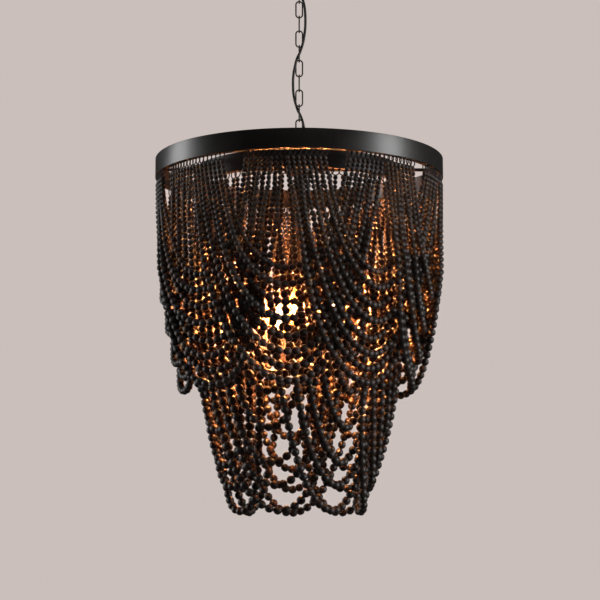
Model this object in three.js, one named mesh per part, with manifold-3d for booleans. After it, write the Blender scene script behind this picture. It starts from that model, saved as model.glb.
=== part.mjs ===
// Beaded chandelier: two hoops on four spokes, draped with graded strings of beads, five candle
// lamps inside, hung from a ceiling canopy by a link chain with the flex laced through it.
// Millimetres, +Z up. The ceiling is the plane z = 0, everything hangs below it, the front is -Y.

import * as THREE from "three";
import { mergeVertices } from "three/addons/utils/BufferGeometryUtils.js";
import Module from "manifold-3d";

const wasm = await Module();
wasm.setup();

const seatGap = 0.3; // clearance left between two pieces that touch
const cutOverrun = 2; // how far a cutting tool passes the face it cuts

// Ceiling fixing
const bracketLength = 88;
const bracketWidth = 22;
const bracketThickness = 3;
const bracketFoldDepth = 14;
const bracketSlotLength = 14;
const bracketSlotWidth = 5;
const bracketSlotPitch = 54;
const nippleRadius = 5;
const nippleNutRadius = 9;
const nippleNutHeight = 5;
const nippleEngagement = 5;
const canopyRadius = 60;
const canopyDepth = 30;
const canopyWall = 1.2;
const canopyCornerRadius = 14;
const canopyCeilingGap = 0.5;
const grommetOffset = 24;
const grommetFlangeRadius = 6.5;
const grommetNeckRadius = 4.8;
const grommetFlangeThickness = 2.2;
const collarRadius = 13;
const collarNeckRadius = 6;
const collarHeight = 8;
const eyeRadius = 10; // centre line of the eye's wire
const eyeWire = 4;
const eyeSink = 1.5; // how deep an eye's wire is welded into its collar

// Chain
const linkCount = 11;
const linkLength = 38.4;
const linkWidth = 17;
const linkWire = 3;

// Frame of the shade
const capRadius = 9;
const capHeight = 7;
const capSpigotLength = 12;
const stemRadius = 6;
const stemBoreRadius = 4.2;
const hoopDrop = 5; // outer hoop's top edge below the stem's top end
const outerHoopRadius = 300;
const outerHoopHeight = 40;
const innerHoopShare = 0.72; // of the outer hoop's radius
const innerHoopRadius = outerHoopRadius * innerHoopShare;
const innerHoopHeight = 37.5;
const hoopWall = 2;
const hoopFlange = 13;
const hoopSides = 48;
const spokeThickness = 5;
const spokeWidth = 12;
const spokeDrop = 15.5; // spoke's top face below the outer hoop's top edge
const spokeFootHeight = 13;
const spokeFootThickness = 3;
const spokeCount = 4;
const hubRadius = 30;
const hubHeight = 17;
const hubChamfer = 2.5;
const glandOffset = 18;
const glandRadius = 5;
const glandHeight = 9;
const glandSpigotRadius = 4.4;
const glandSpigotLength = 5;

// Lamp cluster
const lampCount = 5;
const lampRingRadius = 80;
const firstLampAngle = -77; // degrees from the front, towards +X
const lampHubDrop = 389; // middle of the lamp hub below the outer hoop's lower edge
const lampHubRadius = 19;
const lampHubHeight = 34;
const lampHubWaist = 11;
const stemSocketDepth = 12;
const finialRadius = 9;
const finialLength = 24;
const finialNeckRadius = 4;
const armRadius = 3.5;
const armSag = 14;
const armSink = 3;
const cupRadius = 17;
const cupFootRadius = 7;
const cupHeight = 11;
const cupRise = 5; // cup's foot above the middle of the lamp hub
const sleeveRadius = 12.5;
const sleeveHeight = 56;
const sleeveRimWall = 1.4;
const sleeveRimDepth = 6;
const bulbCapRadius = 7;
const bulbCapLength = 26;
const bulbRadius = 17.5;
const bulbGlassHeight = 90;

// Strings of beads
const threadRadius = 1.5;
const threadDrop = 13; // bare thread between hoop and first bead
const smallBeadRadius = 4;
const largeBeadRadius = 7.5;
const rowGap = 5; // between the two rows of thread holes in a hoop's flange
const rowInset = 4.5; // middle of the two rows inside the hoop's outer face
const crossingOffset = 12.5; // how far a string is pushed out or in where it crosses its neighbour
const crossingDrop = 200; // below the hoop, where that offset is reached
const crossingTurnShare = 0.22; // of the half span, over which a string passes from outside to inside
const growthStartShare = 0.35; // of a string's depth, above which its beads are all small
const growthShare = 0.6; // of its depth, over which they grow
const bottomShare = 0.17; // of a string's half span, drawn level at its full depth
const stationShares = [-1, -0.78, -0.48, -bottomShare, bottomShare, 0.48, 0.78, 1]; // of its half span
const threeSidedShare = 1.15; // of a bead's radius, to the corners of the three-sided string
const upperTier = {
  name: "upper_swag",
  count: 9,
  firstAngle: -5.5,
  innerSpanDegrees: 25,
  spanStepDegrees: 2,
  shallowDepth: 228,
  deepDepth: 443,
  drawShare: 0.223, // of the strings' radius at the hoop, by which the lowest string draws in
  drawPower: 1.305,
  depthShares: [0, 0.15, 0.3, 0.45, 0.6, 0.74, 0.87, 1],
};
const lowerTier = {
  name: "lower_swag",
  count: 7,
  firstAngle: 33,
  innerSpanDegrees: 9.18,
  spanStepDegrees: 7.347,
  shallowDepth: 290,
  deepDepth: 674,
  drawShare: 0.434,
  drawPower: 2.42,
  depthShares: [0, 0.2, 0.39, 0.575, 0.755, 0.87, 1],
};

// Flex, laced through the first, fifth and ninth links
const flexRadius = 2.75;
const flexPoints = [
  [-23.5, -0.3, -44], [-21, -0.8, -53], [-15, -1.2, -62], [-7, -1.2, -69.5],
  [0, -1.2, -74.5], [5, -3, -79.5], [8.4, -5.2, -88], [11.2, -5.4, -100], [12.8, -4, -116],
  [13.1, -2.5, -132], [12.6, -3, -147], [11, -5, -162], [8.8, -5.6, -176], [5.6, -4.6, -188],
  [2.6, -2.2, -196], [0, -1.2, -202.5], [-2.8, -2.4, -208.5], [-5.8, -4.6, -217], [-8.6, -5.4, -229],
  [-11.4, -5.2, -243], [-12.9, -3.6, -258], [-13, -2.6, -273], [-12.2, -4, -288], [-9.8, -5.4, -303],
  [-6.4, -5, -315], [-3, -2.4, -324.5], [0, -1.2, -330.5], [3, -2.6, -337], [6.4, -5, -347],
  [9.4, -5.2, -360], [12, -3.8, -376], [14.4, -2.2, -393], [16.4, -1, -410], [17.6, -0.2, -424],
];

const metalFinish = { color: 0x24211f, roughness: 0.45, metalness: 0.6 };
const beadFinish = { color: 0x262423, roughness: 0.6, metalness: 0 };
const glassFinish = { color: 0xffc27a, roughness: 0.1, metalness: 0 };

const part = new THREE.Group();

function addMesh(name, geometry, finish) {
  const mesh = new THREE.Mesh(geometry, new THREE.MeshStandardMaterial(finish));
  mesh.name = name;
  part.add(mesh);
  return mesh;
}

function radians(degrees) {
  return THREE.MathUtils.degToRad(degrees);
}

// A point at a distance from the axis, at an angle counted from the front (-Y) towards +X.
function polar(radius, angle, height) {
  return new THREE.Vector3(radius * Math.sin(angle), -radius * Math.cos(angle), height);
}

function toSolid(geometry) {
  const bare = geometry.index ? geometry.toNonIndexed() : geometry.clone();
  bare.deleteAttribute("normal");
  bare.deleteAttribute("uv");
  const merged = mergeVertices(bare, 1e-3);
  return new wasm.Manifold(
    new wasm.Mesh({
      numProp: 3,
      vertProperties: merged.attributes.position.array,
      triVerts: new Uint32Array(merged.index.array),
    }),
  );
}

function fromSolid(solid) {
  const mesh = solid.getMesh();
  const geometry = new THREE.BufferGeometry();
  geometry.setAttribute("position", new THREE.BufferAttribute(new Float32Array(mesh.vertProperties), 3));
  geometry.setIndex(new THREE.BufferAttribute(new Uint32Array(mesh.triVerts), 1));
  geometry.computeVertexNormals();
  return geometry;
}

function joined(geometries) {
  return fromSolid(geometries.map(toSolid).reduce((whole, piece) => whole.add(piece)));
}

function cut(geometry, tools) {
  return fromSolid(tools.map(toSolid).reduce((whole, tool) => whole.subtract(tool), toSolid(geometry)));
}

// Turns a profile of [radius, height] points about Z. The profile runs anticlockwise.
function turned(profile, segments) {
  const points = profile.map(([radius, height]) => new THREE.Vector2(radius, height));
  return new THREE.LatheGeometry(points, segments).rotateX(Math.PI / 2);
}

// Turns a closed profile, for a piece with a hole along its axis.
function turnedRing(profile, segments) {
  return turned([...profile, profile[0]], segments);
}

function rod(radius, bottom, top, segments) {
  return turned([[0, bottom], [radius, bottom], [radius, top], [0, top]], segments);
}

// Skins rings of points laid round stations, each with a point and a radius. The sections face
// sideways along the vector that sideOf gives.
function swept(stations, sides, sideOf, closed) {
  const count = stations.length;
  const positions = [];
  const indices = [];
  stations.forEach(({ point, radius }, i) => {
    const before = stations[closed ? (i + count - 1) % count : Math.max(i - 1, 0)].point;
    const after = stations[closed ? (i + 1) % count : Math.min(i + 1, count - 1)].point;
    const tangent = after.clone().sub(point).normalize();
    tangent.add(point.clone().sub(before).normalize()).normalize();
    const across = new THREE.Vector3().crossVectors(tangent, sideOf(point)).normalize();
    const outward = new THREE.Vector3().crossVectors(across, tangent);
    for (let k = 0; k < sides; k++) {
      const turn = (2 * Math.PI * k) / sides;
      const corner = point.clone();
      corner.addScaledVector(outward, radius * Math.cos(turn));
      corner.addScaledVector(across, radius * Math.sin(turn));
      positions.push(corner.x, corner.y, corner.z);
    }
  });
  for (let i = 0; i < (closed ? count : count - 1); i++) {
    const next = (i + 1) % count;
    for (let k = 0; k < sides; k++) {
      const k2 = (k + 1) % sides;
      const [a, b] = [i * sides + k, i * sides + k2];
      const [c, d] = [next * sides + k, next * sides + k2];
      indices.push(a, b, d, a, d, c);
    }
  }
  for (let k = 1; k < sides - 1 && !closed; k++) {
    const last = (count - 1) * sides;
    indices.push(0, k + 1, k, last, last + k, last + k + 1);
  }
  const geometry = new THREE.BufferGeometry();
  geometry.setAttribute("position", new THREE.Float32BufferAttribute(positions, 3));
  geometry.setIndex(indices);
  geometry.computeVertexNormals();
  return geometry;
}

// A round bar along a smooth curve.
function bar(curve, radius, sides, steps) {
  const section = new THREE.Shape(
    Array.from({ length: sides }, (_, k) => {
      const turn = (2 * Math.PI * k) / sides;
      return new THREE.Vector2(radius * Math.cos(turn), radius * Math.sin(turn));
    }),
  );
  return new THREE.ExtrudeGeometry(section, { steps, extrudePath: curve });
}

// A wire eye standing in the XZ plane.
function eye(centreHeight) {
  const ring = new THREE.TorusGeometry(eyeRadius, eyeWire / 2, 6, 12);
  return ring.rotateX(Math.PI / 2).translate(0, 0, centreHeight);
}

// Heights, from the ceiling down
const bracketUnderside = -bracketThickness;
const canopyFloor = -(canopyCeilingGap + canopyDepth);
const collarTop = canopyFloor - seatGap;
const collarFoot = collarTop - collarHeight;
const upperEyeCentre = collarFoot - eyeRadius - eyeWire / 2 + eyeSink;
const linkHalf = linkLength / 2 - linkWire / 2; // from a link's middle to its end wire's centre line
const linkPitch = linkLength - 2 * linkWire - seatGap;
const eyeToLink = eyeWire / 2 + linkWire / 2 + seatGap;
const firstLinkCentre = upperEyeCentre - eyeRadius + eyeToLink - linkHalf;
const lastLinkCentre = firstLinkCentre - (linkCount - 1) * linkPitch;
const lowerEyeCentre = lastLinkCentre - linkHalf + eyeToLink - eyeRadius;
const capTop = lowerEyeCentre - eyeRadius - eyeWire / 2 + eyeSink;
const capFoot = capTop - capHeight;
const stemTop = capFoot - seatGap;
const outerHoopTop = stemTop + capHeight - hoopDrop;
const outerHoopFoot = outerHoopTop - outerHoopHeight;
const spokeTop = outerHoopTop - spokeDrop;
const spokeFoot = spokeTop - spokeThickness;
const innerHoopTop = spokeFoot - seatGap;
const innerHoopFoot = innerHoopTop - innerHoopHeight;
const hubMiddle = spokeTop - spokeThickness / 2;
const lampHubMiddle = outerHoopFoot - lampHubDrop;
const lampHubTop = lampHubMiddle + lampHubHeight / 2;
const lampHubFoot = lampHubMiddle - lampHubHeight / 2;
const stemFoot = lampHubTop - stemSocketDepth + seatGap;

function makeBracket() {
  const half = bracketLength / 2;
  const inner = half - bracketThickness;
  const strap = new THREE.Shape([
    new THREE.Vector2(-half, 0),
    new THREE.Vector2(-half, -bracketFoldDepth),
    new THREE.Vector2(-inner, -bracketFoldDepth),
    new THREE.Vector2(-inner, bracketUnderside),
    new THREE.Vector2(inner, bracketUnderside),
    new THREE.Vector2(inner, -bracketFoldDepth),
    new THREE.Vector2(half, -bracketFoldDepth),
    new THREE.Vector2(half, 0),
  ]);
  const body = new THREE.ExtrudeGeometry(strap, { depth: bracketWidth, bevelEnabled: false });
  body.rotateX(Math.PI / 2).translate(0, bracketWidth / 2, 0);
  const depth = bracketThickness + 2 * cutOverrun;
  const slots = [-1, 1].map((side) =>
    new THREE.BoxGeometry(bracketSlotLength, bracketSlotWidth, depth)
      .translate((side * bracketSlotPitch) / 2, 0, -bracketThickness / 2),
  );
  return cut(body, slots);
}

function makeNipple() {
  const top = bracketUnderside - seatGap;
  const nutFoot = top - nippleNutHeight;
  const foot = collarTop - nippleEngagement;
  return turned(
    [[0, foot], [nippleRadius, foot], [nippleRadius, nutFoot], [nippleNutRadius, nutFoot],
      [nippleNutRadius, top], [0, top]],
    10,
  );
}

function makeCanopy() {
  const rim = -canopyCeilingGap;
  const bore = nippleRadius + seatGap;
  const corner = (radius) =>
    Array.from({ length: 4 }, (_, i) => {
      const turn = (Math.PI / 2) * (i / 3);
      return [
        canopyRadius - canopyCornerRadius + radius * Math.sin(turn),
        canopyFloor + canopyCornerRadius - radius * Math.cos(turn),
      ];
    });
  const outside = [[bore, canopyFloor], ...corner(canopyCornerRadius), [canopyRadius, rim]];
  const inside = [
    [canopyRadius - canopyWall, rim],
    ...corner(canopyCornerRadius - canopyWall).reverse(),
    [bore, canopyFloor + canopyWall],
  ];
  const holeTop = canopyFloor + canopyWall + cutOverrun;
  const cordHole = rod(grommetNeckRadius + seatGap, canopyFloor - cutOverrun, holeTop, 10);
  return cut(turnedRing([...outside, ...inside], 20), [cordHole.translate(-grommetOffset, 0, 0)]);
}

function makeGrommet() {
  const bore = flexRadius + seatGap;
  const under = canopyFloor - seatGap;
  const top = canopyFloor + canopyWall + seatGap;
  return turnedRing(
    [[bore, under - grommetFlangeThickness], [grommetFlangeRadius, under - grommetFlangeThickness],
      [grommetFlangeRadius, under], [grommetNeckRadius, under], [grommetNeckRadius, top],
      [bore, top]],
    10,
  ).translate(-grommetOffset, 0, 0);
}

// The collar nut that holds the canopy up, with the eye that carries the chain.
function makeCanopyLoop() {
  const bore = nippleRadius + seatGap;
  const boreFloor = collarTop - nippleEngagement - seatGap;
  const collar = turned(
    [[0, collarFoot], [collarNeckRadius, collarFoot], [collarRadius, collarFoot + collarHeight / 2],
      [collarRadius, collarTop], [bore, collarTop], [bore, boreFloor], [0, boreFloor]],
    14,
  );
  return joined([collar, eye(upperEyeCentre)]);
}

// A long round-ended link of round wire, standing in the XZ plane.
function makeLink() {
  const bend = linkWidth / 2 - linkWire / 2;
  const straight = linkHalf - bend;
  const arcSteps = 4;
  const stations = [1, -1].flatMap((end) =>
    Array.from({ length: arcSteps + 1 }, (_, i) => {
      const turn = (Math.PI * i) / arcSteps;
      const height = straight + bend * Math.sin(turn);
      const point = new THREE.Vector3(end * bend * Math.cos(turn), 0, end * height);
      return { point, radius: linkWire / 2 };
    }),
  );
  return swept(stations, 6, () => new THREE.Vector3(0, 1, 0), true);
}

function makeHangingEye() {
  const spigotRadius = stemBoreRadius - seatGap;
  const spigotFoot = stemTop - capSpigotLength;
  const cap = turned(
    [[0, spigotFoot], [spigotRadius, spigotFoot], [spigotRadius, capFoot], [capRadius, capFoot],
      [capRadius, capTop - capHeight / 3], [collarNeckRadius, capTop], [0, capTop]],
    12,
  );
  return joined([cap, eye(lowerEyeCentre)]);
}

function makeStem() {
  return turnedRing(
    [[stemBoreRadius, stemFoot], [stemRadius, stemFoot], [stemRadius, stemTop],
      [stemBoreRadius, stemTop]],
    12,
  );
}

function makeHub() {
  const bore = stemRadius + seatGap;
  const top = hubMiddle + hubHeight / 2;
  const foot = hubMiddle - hubHeight / 2;
  const edge = hubRadius - hubChamfer;
  const body = turnedRing(
    [[bore, foot], [edge, foot], [hubRadius, foot + hubChamfer], [hubRadius, top - hubChamfer],
      [edge, top], [bore, top]],
    18,
  );
  const hole = rod(glandSpigotRadius + seatGap, top - glandSpigotLength - seatGap, top + cutOverrun, 10);
  return cut(body, [hole.translate(glandOffset, 0, 0)]);
}

function makeGland() {
  const seat = hubMiddle + hubHeight / 2;
  const spigotFoot = seat - glandSpigotLength;
  const foot = seat + seatGap;
  const top = foot + glandHeight;
  const bore = flexRadius + seatGap;
  return turnedRing(
    [[bore, spigotFoot], [glandSpigotRadius, spigotFoot], [glandSpigotRadius, foot], [glandRadius, foot],
      [glandRadius, top - glandHeight / 3], [glandSpigotRadius, top], [bore, top]],
    10,
  ).translate(glandOffset, 0, 0);
}

// A flat bar from the hub to the outer hoop, with a foot turned down against the hoop.
function makeSpoke(angle) {
  const start = hubRadius + seatGap;
  const end = (outerHoopRadius - hoopWall) * Math.cos(Math.PI / hoopSides) - seatGap;
  const profile = new THREE.Shape([
    new THREE.Vector2(start, spokeFoot),
    new THREE.Vector2(end - spokeFootThickness, spokeFoot),
    new THREE.Vector2(end - spokeFootThickness, spokeFoot - spokeFootHeight),
    new THREE.Vector2(end, spokeFoot - spokeFootHeight),
    new THREE.Vector2(end, spokeTop),
    new THREE.Vector2(start, spokeTop),
  ]);
  const body = new THREE.ExtrudeGeometry(profile, { depth: spokeWidth, bevelEnabled: false });
  body.rotateX(Math.PI / 2).translate(0, spokeWidth / 2, 0);
  return body.rotateZ(angle - Math.PI / 2);
}

// A rolled band with a flange turned in at its lower edge, where the threads are tied.
function makeHoop(radius, top, foot) {
  return turnedRing(
    [[radius - hoopFlange, foot], [radius, foot], [radius, top], [radius - hoopWall, top],
      [radius - hoopWall, foot + hoopWall], [radius - hoopFlange, foot + hoopWall]],
    hoopSides,
  );
}

function makeLampHub() {
  const socket = stemRadius + seatGap;
  const socketFloor = lampHubTop - stemSocketDepth;
  const third = lampHubHeight / 3;
  return turned(
    [[0, lampHubFoot], [lampHubWaist, lampHubFoot], [lampHubRadius, lampHubFoot + third],
      [lampHubRadius, lampHubTop - third], [lampHubWaist, lampHubTop], [socket, lampHubTop],
      [socket, socketFloor], [0, socketFloor]],
    18,
  );
}

function makeFinial() {
  const top = lampHubFoot - seatGap;
  const steps = 6;
  const ball = Array.from({ length: steps }, (_, i) => {
    const turn = (Math.PI * i) / (steps + 1);
    return [finialRadius * Math.sin(turn), top - finialLength + finialRadius * (1 - Math.cos(turn))];
  });
  const neck = [[finialNeckRadius, top - finialLength / 4], [finialNeckRadius * 2, top], [0, top]];
  return turned([...ball, ...neck], 12);
}

// An arm that dips from the lamp hub and rises into the cup which carries a candle sleeve.
function makeArm(angle) {
  const cupFoot = lampHubMiddle + cupRise;
  const cupTop = cupFoot + cupHeight;
  const root = lampHubRadius + seatGap;
  const reach = lampRingRadius - root;
  const route = [
    polar(root, angle, lampHubMiddle),
    polar(root + reach * 0.1, angle, lampHubMiddle),
    polar(root + reach * 0.35, angle, lampHubMiddle - armSag * 0.7),
    polar(root + reach * 0.65, angle, lampHubMiddle - armSag),
    polar(root + reach * 0.9, angle, lampHubMiddle - armSag / 2),
    polar(lampRingRadius, angle, cupFoot + armSink),
  ];
  const tube = bar(new THREE.CatmullRomCurve3(route), armRadius, 6, 8);
  const cup = turned(
    [[0, cupFoot], [cupFootRadius, cupFoot], [cupRadius, cupTop - cupHeight / 3], [cupRadius, cupTop],
      [0, cupTop]],
    10,
  );
  const seat = polar(lampRingRadius, angle, 0);
  return joined([tube, cup.translate(seat.x, seat.y, 0)]);
}

const sleeveFoot = lampHubMiddle + cupRise + cupHeight + seatGap;
const sleeveTop = sleeveFoot + sleeveHeight;

// The candle sleeve with the lampholder's bore inside it.
function makeSleeve() {
  const holder = bulbCapRadius + seatGap;
  const holderFloor = sleeveTop - bulbCapLength - seatGap;
  const mouth = sleeveRadius - sleeveRimWall;
  const mouthFloor = sleeveTop - sleeveRimDepth;
  return turned(
    [[0, sleeveFoot], [sleeveRadius, sleeveFoot], [sleeveRadius, sleeveTop], [mouth, sleeveTop],
      [mouth, mouthFloor], [holder, mouthFloor], [holder, holderFloor], [0, holderFloor]],
    10,
  );
}

// A flame-tip candle lamp: the glass swells from its neck, then draws out to a point.
function makeBulb() {
  const capFootHeight = sleeveTop - bulbCapLength;
  const cap = [[0, capFootHeight], [bulbCapRadius, capFootHeight], [bulbCapRadius, sleeveTop]];
  const glassShares = [[0.5, 0], [0.8, 0.12], [1, 0.3], [0.9, 0.5], [0.55, 0.7], [0.2, 0.88], [0, 1]];
  const glass = glassShares.map(([wide, high]) => {
    return [bulbRadius * wide, sleeveTop + bulbGlassHeight * high];
  });
  return turned([...cap, ...glass], 10);
}

// The parameter of the catenary that spans twice halfSpan and hangs depth below its ends.
function catenaryParameter(halfSpan, depth) {
  let [low, high] = [halfSpan / 50, halfSpan * 50];
  for (let i = 0; i < 60; i++) {
    const middle = (low + high) / 2;
    const hang = middle * (Math.cosh(halfSpan / middle) - 1);
    if (hang > depth) low = middle;
    else high = middle;
  }
  return low;
}

function smooth(share) {
  const x = THREE.MathUtils.clamp(share, 0, 1);
  return x * x * (3 - 2 * x);
}

// The strings press on one another where they cross, so a whole tier lies on one surface, which draws
// in from the hoop towards the lowest loop. This is its distance from the axis.
function surfaceRadius(tier, meanRadius, drop) {
  return meanRadius * (1 - tier.drawShare * (drop / tier.deepDepth) ** tier.drawPower);
}

// Stations of one string from its left end to its right end. It hangs as a catenary between its two
// holes. Its left half lies outside the strings that cross it, its right half inside. The beads grow
// from the ends to the bottom.
function loopStations(tier, centreAngle, loop, meanRadius, hoopFoot) {
  const spanAngle = radians(tier.innerSpanDegrees + loop * tier.spanStepDegrees);
  const depth = THREE.MathUtils.lerp(tier.shallowDepth, tier.deepDepth, tier.depthShares[loop]);
  const halfSpan = meanRadius * Math.sin(spanAngle);
  const planeDistance = meanRadius * Math.cos(spanAngle);
  const parameter = catenaryParameter(halfSpan, depth - threadDrop);
  const beads = stationShares.map((share) => {
    const along = share * halfSpan;
    const rise = parameter * (Math.cosh(along / parameter) - 1);
    const drop = Math.abs(share) > bottomShare ? depth - rise : depth;
    const growth = smooth((drop / depth - growthStartShare) / growthShare);
    return { along, drop, radius: THREE.MathUtils.lerp(smallBeadRadius, largeBeadRadius, growth) };
  });
  const tie = (side) => ({ along: side * halfSpan, drop: threadRadius + seatGap, radius: threadRadius });
  return [tie(-1), ...beads, tie(1)].map(({ along, drop, radius }) => {
    const side = -Math.tanh(along / (halfSpan * crossingTurnShare));
    const push = THREE.MathUtils.lerp(rowGap / 2, crossingOffset, smooth(drop / crossingDrop));
    const distance = surfaceRadius(tier, meanRadius, drop) + side * push;
    const angle = centreAngle + Math.atan2(along, planeDistance);
    return { point: polar(distance, angle, hoopFoot - drop), radius: radius * threeSidedShare };
  });
}

// One swag: its strings are nested loops, threaded one after the other as a single line that turns
// back under the flange.
function makeSwag(tier, index, hoopRadius, hoopFoot) {
  const centreAngle = radians(tier.firstAngle + (360 / tier.count) * index);
  const stations = tier.depthShares.flatMap((_, i) => {
    const loop = loopStations(tier, centreAngle, i, hoopRadius - rowInset, hoopFoot);
    return i % 2 ? loop.reverse() : loop;
  });
  return swept(stations, 3, (point) => new THREE.Vector3(point.x, point.y, 0).normalize(), false);
}

function makeFlex() {
  const hubTop = hubMiddle + hubHeight / 2;
  const points = [
    [-grommetOffset, 0, canopyFloor + canopyWall],
    ...flexPoints,
    [glandOffset, 0, hubTop],
    [glandOffset, 0, hubTop - glandSpigotLength + seatGap],
  ];
  const route = new THREE.CatmullRomCurve3(points.map(([x, y, z]) => new THREE.Vector3(x, y, z)));
  return bar(route, flexRadius, 8, 44);
}

addMesh("ceiling_bracket", makeBracket(), { color: 0x9a9a98, roughness: 0.4, metalness: 0.9 });
addMesh("threaded_nipple", makeNipple(), { color: 0x8f8f8d, roughness: 0.35, metalness: 0.9 });
addMesh("canopy", makeCanopy(), metalFinish);
addMesh("cord_grommet", makeGrommet(), { color: 0x151414, roughness: 0.7, metalness: 0 });
addMesh("canopy_loop", makeCanopyLoop(), metalFinish);

for (let i = 0; i < linkCount; i++) {
  const link = addMesh("chain_link_" + String(i + 1).padStart(2, "0"), makeLink(), metalFinish);
  link.position.z = firstLinkCentre - i * linkPitch;
  link.rotation.z = i % 2 ? 0 : Math.PI / 2;
}

addMesh("hanging_eye", makeHangingEye(), metalFinish);
addMesh("stem", makeStem(), metalFinish);
addMesh("wiring_hub", makeHub(), metalFinish);
addMesh("cord_gland", makeGland(), { color: 0x151414, roughness: 0.7, metalness: 0 });
for (let i = 0; i < spokeCount; i++) {
  addMesh("spoke_" + (i + 1), makeSpoke((2 * Math.PI * i) / spokeCount), metalFinish);
}
addMesh("outer_hoop", makeHoop(outerHoopRadius, outerHoopTop, outerHoopFoot), metalFinish);
addMesh("inner_hoop", makeHoop(innerHoopRadius, innerHoopTop, innerHoopFoot), metalFinish);

addMesh("lamp_hub", makeLampHub(), metalFinish);
addMesh("finial", makeFinial(), metalFinish);
for (let i = 0; i < lampCount; i++) {
  const angle = radians(firstLampAngle + (360 / lampCount) * i);
  const seat = polar(lampRingRadius, angle, 0);
  addMesh("lamp_arm_" + (i + 1), makeArm(angle), metalFinish);
  addMesh("candle_sleeve_" + (i + 1), makeSleeve(), metalFinish).position.copy(seat);
  addMesh("bulb_" + (i + 1), makeBulb(), glassFinish).position.copy(seat);
}

for (const [tier, radius, foot] of [
  [upperTier, outerHoopRadius, outerHoopFoot],
  [lowerTier, innerHoopRadius, innerHoopFoot],
]) {
  for (let i = 0; i < tier.count; i++) {
    const name = tier.name + "_" + String(i + 1).padStart(2, "0");
    addMesh(name, makeSwag(tier, i, radius, foot), beadFinish);
  }
}

addMesh("power_cord", makeFlex(), { color: 0x121212, roughness: 0.6, metalness: 0 });

export default part;
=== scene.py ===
"""A beaded chandelier: two black hoops draped with graded strings of stained wooden beads, five candle
lamps glowing inside, and a link chain with the flex laced through it."""

import bisect
import math
import random

import bpy
from mathutils import Matrix, Vector, noise


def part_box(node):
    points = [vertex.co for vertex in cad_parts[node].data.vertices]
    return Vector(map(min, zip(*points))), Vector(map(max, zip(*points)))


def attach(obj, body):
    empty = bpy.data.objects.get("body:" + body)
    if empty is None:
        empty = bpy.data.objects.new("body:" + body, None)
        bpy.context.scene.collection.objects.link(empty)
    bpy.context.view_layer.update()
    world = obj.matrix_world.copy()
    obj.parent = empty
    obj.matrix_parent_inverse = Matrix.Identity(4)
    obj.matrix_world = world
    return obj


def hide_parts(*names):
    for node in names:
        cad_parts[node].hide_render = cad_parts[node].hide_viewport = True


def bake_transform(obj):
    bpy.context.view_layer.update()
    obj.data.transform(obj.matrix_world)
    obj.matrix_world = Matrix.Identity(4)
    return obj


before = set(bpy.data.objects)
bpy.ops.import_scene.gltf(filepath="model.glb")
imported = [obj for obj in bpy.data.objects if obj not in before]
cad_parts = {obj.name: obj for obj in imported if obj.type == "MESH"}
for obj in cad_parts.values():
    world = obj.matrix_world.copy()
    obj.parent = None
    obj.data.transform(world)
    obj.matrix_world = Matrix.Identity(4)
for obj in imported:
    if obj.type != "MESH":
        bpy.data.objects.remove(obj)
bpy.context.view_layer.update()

MM = 0.001

# The random draws and the noise are seeded, so that the beads and the fall of their strings come out the
# same on every run.
SEED = 11
chance = random.Random(SEED)
noise.seed_set(SEED)

# Camera: a little under the shade, looking slightly up, as the photograph was taken.
camera_data = bpy.data.cameras.new("camera")
camera_data.sensor_width = 36
camera_data.lens = 105.35
camera = bpy.data.objects.new("camera", camera_data)
camera.location = (0.0017, -3.6, -1.236)
camera.rotation_euler = (math.radians(90 + 8.05), 0, 0)
bpy.context.scene.collection.objects.link(camera)
bpy.context.scene.camera = camera
bpy.context.scene.view_settings.view_transform = "Standard"


# Materials


def linear(code):
    """An sRGB hex colour as linear red, green, blue and alpha."""
    channels = [int(code[i : i + 2], 16) / 255 for i in (1, 3, 5)]
    return [c / 12.92 if c <= 0.04045 else ((c + 0.055) / 1.055) ** 2.4 for c in channels] + [1]


def add_node(tree, kind, values=None, links=None, **settings):
    """Adds a node: settings are its own properties, values fill its inputs and links feed them."""
    made = tree.nodes.new(kind)
    for name, value in settings.items():
        setattr(made, name, value)
    for name, value in (values or {}).items():
        made.inputs[name].default_value = value
    for name, source in (links or {}).items():
        tree.links.new(source, made.inputs[name])
    return made


def new_material(name, **values):
    material = bpy.data.materials.new(name)
    material.use_nodes = True
    shader = material.node_tree.nodes["Principled BSDF"]
    for socket, value in values.items():
        shader.inputs[socket.replace("_", " ").title().replace("Ior", "IOR")].default_value = value
    return material, material.node_tree, shader


def two_tones(tree, factor, first, second, low=0.3, high=0.7):
    """Blends from one colour to another as the factor rises from low to high."""
    ramp = add_node(tree, "ShaderNodeValToRGB", links={"Fac": factor})
    ramp.color_ramp.elements[0].position = low
    ramp.color_ramp.elements[0].color = linear(first)
    ramp.color_ramp.elements[1].position = high
    ramp.color_ramp.elements[1].color = linear(second)
    return ramp.outputs["Color"]


def powder_coated_steel():
    # Baked satin powder over rolled steel: nearly black, faintly warm, with a soft orange-peel skin.
    # The real skin ripples every 0.8 mm; it is drawn at 5 mm so that it shows.
    material, tree, shader = new_material("powder_coated_steel", metallic=0.0, ior=1.5)
    place = add_node(tree, "ShaderNodeTexCoord").outputs["Object"]
    skin = add_node(tree, "ShaderNodeTexNoise", {"Scale": 200, "Detail": 2}, {"Vector": place})
    cloud = add_node(tree, "ShaderNodeTexNoise", {"Scale": 18, "Detail": 4}, {"Vector": place})
    tree.links.new(two_tones(tree, cloud.outputs["Fac"], "#171514", "#24211f"), shader.inputs["Base Color"])
    sheen = add_node(
        tree, "ShaderNodeMapRange", {"To Min": 0.28, "To Max": 0.38}, {"Value": cloud.outputs["Fac"]}
    )
    tree.links.new(sheen.outputs["Result"], shader.inputs["Roughness"])
    bump = add_node(
        tree, "ShaderNodeBump", {"Strength": 0.08, "Distance": 0.0004}, {"Height": skin.outputs["Fac"]}
    )
    tree.links.new(bump.outputs["Normal"], shader.inputs["Normal"])
    return material


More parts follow.
